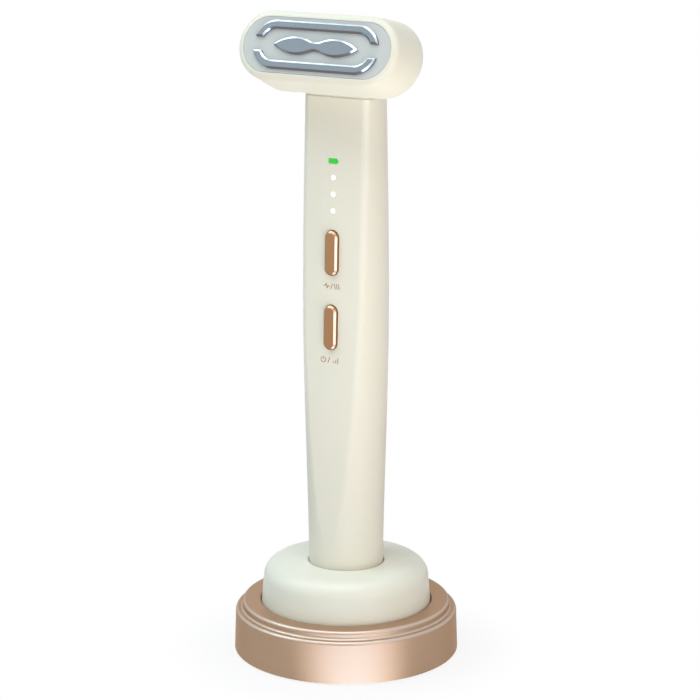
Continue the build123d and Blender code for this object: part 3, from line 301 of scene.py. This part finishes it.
def moulded_skin():
    """Group for moulded and rubbery skins: clouded colour, varied roughness and a fine grain."""
    cloud_scale = 45.0
    sheen_scale = 320.0
    sheen_swing = 0.10
    grain_scale = 2600.0
    grain_depth = 0.00003
    group, given, out = new_group(
        "moulded_skin",
        [("Colour", "NodeSocketColor", (0.8, 0.8, 0.8, 1.0)), ("Cloud", "NodeSocketFloat", 0.02),
         ("Roughness", "NodeSocketFloat", 0.4), ("Grain", "NodeSocketFloat", 0.1)],
        [("Colour", "NodeSocketColor"), ("Roughness", "NodeSocketFloat"), ("Normal", "NodeSocketVector")])
    place = group.nodes.new("ShaderNodeTexCoord").outputs["Object"]
    tone = group.nodes.new("ShaderNodeHueSaturation")
    group.links.new(given.outputs["Colour"], tone.inputs["Color"])
    paleness = spread(group, cloud(group, place, cloud_scale), 1.0, given.outputs["Cloud"])
    group.links.new(paleness, tone.inputs["Value"])
    group.links.new(tone.outputs["Color"], out.inputs["Colour"])
    sheen = cloud(group, place, sheen_scale, detail=3.0)
    group.links.new(spread(group, sheen, given.outputs["Roughness"], sheen_swing), out.inputs["Roughness"])
    bump = group.nodes.new("ShaderNodeBump")
    bump.inputs["Distance"].default_value = grain_depth
    group.links.new(cloud(group, place, grain_scale, detail=1.0), bump.inputs["Height"])
    group.links.new(given.outputs["Grain"], bump.inputs["Strength"])
    group.links.new(bump.outputs["Normal"], out.inputs["Normal"])
    return group


skin_group = moulded_skin()


def linear(red, green, blue):
    """Colour as the shader takes it, from its screen values of 0 to 255."""
    parts = [value / 255 for value in (red, green, blue)]
    return tuple(p / 12.92 if p <= 0.04045 else ((p + 0.055) / 1.055) ** 2.4 for p in parts) + (1.0,)


def grouped_finish(name, group, values, shader_values):
    """Material of one Principled shader fed by a skin group, with its plain numbers on the shader."""
    paint = bpy.data.materials.new(name)
    paint.use_nodes = True
    tree = paint.node_tree
    shader = tree.nodes["Principled BSDF"]
    skin = tree.nodes.new("ShaderNodeGroup")
    skin.node_tree = group
    for socket, value in values.items():
        skin.inputs[socket].default_value = value
    for socket, value in shader_values.items():
        shader.inputs[socket].default_value = value
    tree.links.new(skin.outputs["Colour"], shader.inputs["Base Color"])
    tree.links.new(skin.outputs["Roughness"], shader.inputs["Roughness"])
    tree.links.new(skin.outputs["Normal"], shader.inputs["Normal"])
    return paint


def moulded(name, colour, roughness=0.4, cloudy=0.02, grain=0.12, **shader_values):
    """Moulded plastic or rubber of one colour."""
    values = {"Colour": colour, "Cloud": cloudy, "Roughness": roughness, "Grain": grain}
    return grouped_finish(name, skin_group, values, shader_values)


def dress(node, paint):
    """Give a CAD node its material."""
    slots = nodes[node].data.materials
    slots.clear()
    slots.append(paint)


cream_shell = moulded("cream_shell", linear(238, 233, 218), roughness=0.38, **{
    "Specular IOR Level": 0.3, "Subsurface Weight": 0.08, "Subsurface Scale": 0.002})


# Base ring of the stand.
# Turned from aluminium, blasted fine and anodised rose gold: a skirt, a stepped shoulder and a
# round recess for the cup. The lathe's traces run round it, and a painted highlight pales its
# upward facing rounded edges.

def turned_skin():
    """Group for turned metal: faint rings round the Z axis, and a painted highlight on edges that turn off
    a face.
    """
    trace_scale = 900.0
    sheen_scale = 240.0
    sheen_swing = 0.08
    brush_scale = 5200.0
    brush_depth = 0.00002
    # Rows of the painted highlight's mask: a direction, the range of facing it, and the mask at the two
    # ends
    # of that range: off the walls, off the flat face, and on the side that shines.
    highlight_masks = (("Axis", 0.25, 0.5, 0.0, 1.0), ("Axis", 0.85, 0.97, 1.0, 0.0),
                  ("Towards", -0.1, 0.1, 0.0, 1.0))
    group, given, out = new_group(
        "turned_skin",
        [("Colour", "NodeSocketColor", (0.8, 0.8, 0.8, 1.0)), ("Cloud", "NodeSocketFloat", 0.03),
         ("Roughness", "NodeSocketFloat", 0.3), ("Grain", "NodeSocketFloat", 0.1),
         ("Highlight Colour", "NodeSocketColor", (0.8, 0.8, 0.8, 1.0)), ("Edge", "NodeSocketFloat", 0.0),
         ("Axis", "NodeSocketVector", (0.0, 0.0, 1.0)), ("Towards", "NodeSocketVector", (0.0, 0.0, 1.0)),
         ("Roll", "NodeSocketFloat", 0.0)],
        [("Colour", "NodeSocketColor"), ("Roughness", "NodeSocketFloat"), ("Normal", "NodeSocketVector")])
    place = group.nodes.new("ShaderNodeTexCoord").outputs["Object"]
    flat = group.nodes.new("ShaderNodeVectorMath")
    flat.operation = "MULTIPLY"
    flat.inputs[1].default_value = (1.0, 1.0, 0.0)
    group.links.new(place, flat.inputs[0])
    reach = group.nodes.new("ShaderNodeVectorMath")
    reach.operation = "LENGTH"
    group.links.new(flat.outputs["Vector"], reach.inputs[0])
    parts = group.nodes.new("ShaderNodeSeparateXYZ")
    group.links.new(place, parts.inputs[0])
    rings = group.nodes.new("ShaderNodeCombineXYZ")
    group.links.new(reach.outputs["Value"], rings.inputs["X"])
    group.links.new(parts.outputs["Z"], rings.inputs["Y"])
    tone = group.nodes.new("ShaderNodeHueSaturation")
    group.links.new(given.outputs["Colour"], tone.inputs["Color"])
    traces = cloud(group, rings.outputs["Vector"], trace_scale)
    group.links.new(spread(group, traces, 1.0, given.outputs["Cloud"]), tone.inputs["Value"])
    turned_to = group.nodes.new("ShaderNodeTexCoord").outputs["Normal"]
    highlight_share = given.outputs["Edge"]
    for way, start, end, first, last in highlight_masks:
        facing = group.nodes.new("ShaderNodeVectorMath")
        facing.operation = "DOT_PRODUCT"
        group.links.new(turned_to, facing.inputs[0])
        group.links.new(given.outputs[way], facing.inputs[1])
        side = group.nodes.new("ShaderNodeMapRange")
        side.interpolation_type = "SMOOTHSTEP"
        numbers = {"From Min": start, "From Max": end, "To Min": first, "To Max": last}
        for name, number in numbers.items():
            side.inputs[name].default_value = number
        group.links.new(facing.outputs["Value"], side.inputs["Value"])
        both = group.nodes.new("ShaderNodeMath")
        both.operation = "MULTIPLY"
        group.links.new(side.outputs["Result"], both.inputs[0])
        group.links.new(highlight_share, both.inputs[1])
        highlight_share = both.outputs[0]
    mix = group.nodes.new("ShaderNodeMix")
    mix.data_type = "RGBA"
    group.links.new(highlight_share, mix.inputs["Factor"])
    group.links.new(tone.outputs["Color"], mix.inputs[6])
    group.links.new(given.outputs["Highlight Colour"], mix.inputs[7])
    group.links.new(mix.outputs[2], out.inputs["Colour"])
    sheen = cloud(group, place, sheen_scale, detail=3.0)
    group.links.new(spread(group, sheen, given.outputs["Roughness"], sheen_swing), out.inputs["Roughness"])
    lean = group.nodes.new("ShaderNodeMath")
    lean.operation = "MULTIPLY"
    group.links.new(highlight_share, lean.inputs[0])
    group.links.new(given.outputs["Roll"], lean.inputs[1])
    towards_face = group.nodes.new("ShaderNodeVectorMath")
    towards_face.operation = "SCALE"
    group.links.new(given.outputs["Axis"], towards_face.inputs[0])
    group.links.new(lean.outputs[0], towards_face.inputs["Scale"])
    rolled = group.nodes.new("ShaderNodeVectorMath")
    group.links.new(group.nodes.new("ShaderNodeNewGeometry").outputs["Normal"], rolled.inputs[0])
    group.links.new(towards_face.outputs["Vector"], rolled.inputs[1])
    unit = group.nodes.new("ShaderNodeVectorMath")
    unit.operation = "NORMALIZE"
    group.links.new(rolled.outputs["Vector"], unit.inputs[0])
    bump = group.nodes.new("ShaderNodeBump")
    group.links.new(unit.outputs["Vector"], bump.inputs["Normal"])
    bump.inputs["Distance"].default_value = brush_depth
    brushing = cloud(group, rings.outputs["Vector"], brush_scale, detail=1.0)
    group.links.new(brushing, bump.inputs["Height"])
    group.links.new(given.outputs["Grain"], bump.inputs["Strength"])
    group.links.new(bump.outputs["Normal"], out.inputs["Normal"])
    return group


turned_group = turned_skin()


def turned_metal(name, colour, roughness=0.3, cloudy=0.05, grain=0.15, edge_highlight=None, **shader_values):
    """Turned or stamped metal. Its painted edge highlight is a colour, a share, the face's axis, the side
    that shines and how far the edges' shading leans back to the face."""
    values = {"Colour": colour, "Cloud": cloudy, "Roughness": roughness, "Grain": grain}
    if edge_highlight:
        values.update(zip(("Highlight Colour", "Edge", "Axis", "Towards", "Roll"), edge_highlight))
    return grouped_finish(name, turned_group, values, {"Metallic": 1.0, **shader_values})


# The ring's rounded edges that face upward take a paler colour: a painted highlight.
rose_metal = turned_metal("rose_metal", linear(182, 152, 127), roughness=0.38, edge_highlight=(
    linear(213, 206, 201), 0.5, (0.0, 0.0, 1.0)), **{
    "Metallic": 0.5, "Specular IOR Level": 0.1, "Specular Tint": linear(210, 175, 150)})
dress("stand_base_ring", rose_metal)


# Cup of the stand.
# One moulding in the same cream as the wand, with a broad round shoulder and the socket that the
# wand drops into. It sits in the ring's recess with a narrow gap all round.

cream_stand = moulded("cream_stand", linear(240, 237, 222), roughness=0.36, **{
    "Specular IOR Level": 0.4, "Subsurface Weight": 0.08, "Subsurface Scale": 0.002})
dress("stand_cup", cream_stand)


# Underside of the stand: cover, rubber ring and screws.
# The cover is moulded and closes the skirt from below, the ring in its groove is grey rubber, and
# four plated screws in deep holes pull everything up against the cup.

rubber_finish = moulded("rubber_finish", linear(74, 74, 76), roughness=0.75, grain=0.5)
plated_steel = turned_metal("plated_steel", linear(182, 183, 186), roughness=0.26)
dress("stand_bottom_cover", cream_stand)
dress("stand_foot_ring", rubber_finish)
dress("stand_screws", plated_steel)


# Inside the stand: ballast, board, inlet and sprung pins.
# A steel ring gives the stand its weight. The green board under the socket carries the charging
# inlet at the back and two gold-plated barrels, whose sprung pins reach up into the socket.

def board_skin():
    """Group for circuit boards: solder mask with lighter tracks under it."""
    track_scale = 420.0
    track_width = 0.05
    track_depth = 0.00003
    mask_scale = 500.0
    sheen_swing = 0.1
    track_relief = 0.4
    group, given, out = new_group(
        "board_skin",
        [("Colour", "NodeSocketColor", (0.1, 0.3, 0.15, 1.0)),
         ("Track", "NodeSocketColor", (0.2, 0.45, 0.2, 1.0)), ("Roughness", "NodeSocketFloat", 0.35)],
        [("Colour", "NodeSocketColor"), ("Roughness", "NodeSocketFloat"), ("Normal", "NodeSocketVector")])
    place = group.nodes.new("ShaderNodeTexCoord").outputs["Object"]
    cells = group.nodes.new("ShaderNodeTexBrick")
    cells.inputs["Scale"].default_value = track_scale
    cells.inputs["Mortar Size"].default_value = track_width
    cells.inputs["Color1"].default_value = (0.0, 0.0, 0.0, 1.0)
    cells.inputs["Color2"].default_value = (0.2, 0.2, 0.2, 1.0)
    cells.inputs["Mortar"].default_value = (1.0, 1.0, 1.0, 1.0)
    group.links.new(place, cells.inputs["Vector"])
    mix = group.nodes.new("ShaderNodeMix")
    mix.data_type = "RGBA"
    group.links.new(cells.outputs["Color"], mix.inputs["Factor"])
    group.links.new(given.outputs["Colour"], mix.inputs[6])
    group.links.new(given.outputs["Track"], mix.inputs[7])
    group.links.new(mix.outputs[2], out.inputs["Colour"])
    sheen = cloud(group, place, mask_scale)
    group.links.new(spread(group, sheen, given.outputs["Roughness"], sheen_swing), out.inputs["Roughness"])
    bump = group.nodes.new("ShaderNodeBump")
    bump.inputs["Distance"].default_value = track_depth
    bump.inputs["Strength"].default_value = track_relief
    group.links.new(cells.outputs["Fac"], bump.inputs["Height"])
    group.links.new(bump.outputs["Normal"], out.inputs["Normal"])
    return group


board_finish = grouped_finish("board_finish", board_skin(), {
    "Colour": linear(26, 92, 50), "Track": linear(62, 132, 74), "Roughness": 0.32}, {})
gold_plate = turned_metal("gold_plate", linear(226, 190, 110), roughness=0.22)
dark_plastic = moulded("dark_plastic", linear(34, 34, 37), roughness=0.5, grain=0.3)
for node in ("stand_ballast", "stand_board_screws", "charging_inlet_shell", "pin_spring_left",
             "pin_spring_right"):
    dress(node, plated_steel)
for node in ("charging_pin_barrels", "charging_pin_left", "charging_pin_right"):
    dress(node, gold_plate)
dress("stand_circuit_board", board_finish)
dress("charging_inlet_tongue", dark_plastic)


# Springs under the charging pins.
# Each stands on its barrel's floor, round the pin's tail; a welded copy takes the loaded coil's place and
# goes with the stand.

merge_distance = 0.000001
for side in ("left", "right"):
    coil = nodes["pin_spring_" + side]
    spring = bpy.data.objects.new("squeezed_spring_" + side, coil.data.copy())
    bpy.context.scene.collection.objects.link(spring)
    clear_selection()
    spring.select_set(True)
    bpy.context.view_layer.objects.active = spring
    bpy.ops.object.mode_set(mode="EDIT")
    bpy.ops.mesh.select_all(action="SELECT")
    bpy.ops.mesh.remove_doubles(threshold=merge_distance)
    bpy.ops.object.mode_set(mode="OBJECT")
    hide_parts("pin_spring_" + side)
    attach(spring, "stand")
    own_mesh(spring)


# Handle: barrel, end cap, seals and contacts.
# The barrel is one long moulding with a flat, gently crowned front. The cap closes its foot on a
# rubber ring, with two screws and the two gold pads that meet the stand's pins. The seal at the
# neck has the colour of the shells.

for node in ("handle_barrel", "handle_end_cap", "neck_gasket"):
    dress(node, cream_shell)
dress("end_cap_seal", rubber_finish)
dress("end_cap_screws", plated_steel)
dress("charging_contacts", gold_plate)


# Inside the handle: frame, cell and main board.
# The black frame slides in from the foot with the wrapped cell in its cradle, a foam pad against
# it, and the main board with its chips screwed to the pillars behind the buttons.

cell_wrap = moulded("cell_wrap", linear(44, 96, 150), roughness=0.3, grain=0.05)
for node in ("inner_frame", "control_chips", "treatment_switch", "power_switch", "treatment_switch_stem",
             "power_switch_stem", "light_shield"):
    dress(node, dark_plastic)
for node in ("battery_pad", "button_gasket"):
    dress(node, rubber_finish)
dress("battery", cell_wrap)
dress("main_circuit_board", board_finish)
dress("main_board_screws", plated_steel)


# Buttons.
# Two long metal caps, anodised a deeper rose gold than the ring, with a flat face and a cut bevel
# all round that is paler where it faces right, a painted highlight. Each stands a little proud of
# the facet in a narrow dark gap.

facet_axis = (0.0, -0.999, 0.034)
# The bevel's right facing side takes a paler colour: a painted highlight.
rose_button = turned_metal("rose_button", linear(158, 119, 83), roughness=0.36, grain=0.05, edge_highlight=(
    linear(205, 172, 148), 0.5, facet_axis, (1.0, 0.0, 0.3), 0.0), **{
    "Coat Weight": 0.15, "Coat Roughness": 0.2})
for node in ("treatment_button", "power_button"):
    dress(node, rose_button)


# Printed marks under the buttons.
# Two rows of plain signs in rose brown ink: pulse and heat for the upper button, power and level
# for the lower one. Each line is a thin film that follows the crown of the facet.

# Width of a line, middle of a row below its button, plane that the lines start from, and how far
# the ink's middle lies off the facet and how thick it is.
mark_line = 0.00024
mark_drop = 0.0021
mark_front = -0.03
ink_lift = 0.00002
ink_film = 0.00004
mark_ink = moulded("mark_ink", linear(172, 128, 88), roughness=0.5, cloudy=0.06, grain=0.05)


def straight(*points):
    """Path through the points of a broken line, by its share of the way from 0 to 1."""
    def path(share):
        step = min(int(share * (len(points) - 1)), len(points) - 2)
        part = share * (len(points) - 1) - step
        return Vector(points[step]).lerp(Vector(points[step + 1]), part)
    return path


def wave(middle, sway=0.18, height=1.7):
    """Path of one rising wisp of heat."""
    return lambda share: Vector((middle + sway * math.sin(share * math.tau), height * (share - 0.5)))


def open_ring(middle, radius, gap=0.55):
    """Path of a ring with an opening at the top, gap radians to each side, as in the sign for power."""
    def path(share):
        turn = gap + share * (math.tau - 2 * gap)
        return Vector((middle + radius * math.sin(turn), radius * math.cos(turn)))
    return path


def printed_marks(name, button, paths):
    """Row of printed lines below a button, laid on the facet along paths given in millimetres."""
    ahead = 0.01
    lowest = min((nodes[button].matrix_world @ Vector(corner)).z for corner in nodes[button].bound_box)
    strokes = []
    for path, segments in paths:
        clear_selection()
        bpy.ops.mesh.primitive_grid_add(
            x_subdivisions=segments, y_subdivisions=1, size=1.0, location=(0, 0, 0))
        stroke = bpy.context.object
        for vertex in stroke.data.vertices:
            share = vertex.co.x + 0.5
            heading = (path(min(share + ahead, 1.0)) - path(max(share - ahead, 0.0))).normalized()
            spot = path(share) / 1000 + Vector((-heading.y, heading.x)) * vertex.co.y * mark_line
            vertex.co = (spot.x, mark_front, lowest - mark_drop + spot.y)
        strokes.append(stroke)
    clear_selection()
    for stroke in strokes:
        stroke.select_set(True)
    bpy.context.view_layer.objects.active = strokes[0]
    bpy.ops.object.join()
    marks = bpy.context.object
    marks.name = name
    wrap = marks.modifiers.new("wrap", "SHRINKWRAP")
    wrap.wrap_method = "PROJECT"
    wrap.target = nodes["handle_barrel"]
    wrap.use_project_y = True
    wrap.offset = ink_lift
    film = marks.modifiers.new("film", "SOLIDIFY")
    film.thickness = ink_film
    film.offset = 0.0
    for modifier in ("wrap", "film"):
        bpy.ops.object.modifier_apply(modifier=modifier)
    marks.data.materials.append(mark_ink)
    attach(marks, "wand")


printed_marks("treatment_marks", "treatment_button", [
    (straight((-2.9, 0), (-2.3, 0), (-2.0, 0.8), (-1.6, -0.8), (-1.3, 0), (-0.8, 0)), 20),
    (straight((-0.3, -0.9), (0.3, 0.9)), 4), (wave(1.1), 12), (wave(1.8), 12), (wave(2.5), 12)])
printed_marks("power_marks", "power_button", [
    (open_ring(-2.6, 0.85), 24), (straight((-2.6, 0.1), (-2.6, 1.0)), 3),
    (straight((-0.9, -0.9), (-0.3, 0.9)), 4), (straight((1.2, -0.85), (1.2, -0.2)), 2),
    (straight((1.9, -0.85), (1.9, 0.3)), 3), (straight((2.6, -0.85), (2.6, 0.85)), 4)])


# Light windows.
# Clear light pipes flush with the facet: a green one shaped like a small cell, and three round
# ones under it that show the level in white. They are lit, so they glow evenly.

def lit_window(name, colour, glow):
    """Light pipe that glows with its own colour."""
    paint = moulded(name, colour, roughness=0.25, grain=0.02)
    shader = paint.node_tree.nodes["Principled BSDF"]
    shader.inputs["Emission Color"].default_value = colour
    shader.inputs["Emission Strength"].default_value = glow
    return paint


green_window = lit_window("green_window", linear(46, 190, 46), 0.3)
white_window = lit_window("white_window", linear(252, 253, 252), 0.6)
dress("battery_window", green_window)
dress("level_windows", white_window)
dress("indicator_leds", white_window)


# Head: shells, lens panel and electrodes.
# Two cream shells, a smooth pale panel set into the bezel, and three plated electrodes that stand
# proud of it: two bars round the rim and a double leaf in the middle. Their bevels are paler where
# they face up and to the right, a painted highlight, and their shading leans back towards the face.

panel_plastic = moulded("panel_plastic", linear(202, 204, 202), roughness=0.16, grain=0.02, **{
    "Specular IOR Level": 0.5, "Coat Weight": 0.4, "Coat Roughness": 0.06})
face_tilt = math.radians(19.43)
face_axis = (0.0, -math.cos(face_tilt), math.sin(face_tilt))
# The electrodes' bevels that face up and right take a paler colour: a painted highlight.
chrome_trim = turned_metal("chrome_trim", linear(140, 152, 161), roughness=0.2, grain=0.02, edge_highlight=(
    linear(196, 202, 206), 1.0, face_axis, (0.6, 0.0, 0.8), 0.85), **{
    "Coat Weight": 0.1, "Coat Roughness": 0.1})
for node in ("head_front_shell", "head_rear_shell"):
    dress(node, cream_shell)
dress("lens_panel", panel_plastic)
for node in ("upper_electrode", "lower_electrode", "centre_electrode"):
    dress(node, chrome_trim)


# Inside the head: light board and vibration motor.
# The board with two rows of red light chips sits on stakes behind the panel, and a small motor
# in a rubber sleeve turns an off-centre weight.

red_chip = lit_window("red_chip", linear(214, 40, 34), 0.3)
dress("led_board", board_finish)
dress("led_chips", red_chip)
dress("motor_sleeve", rubber_finish)
for node in ("vibration_motor", "motor_shaft", "motor_weight"):
    dress(node, plated_steel)
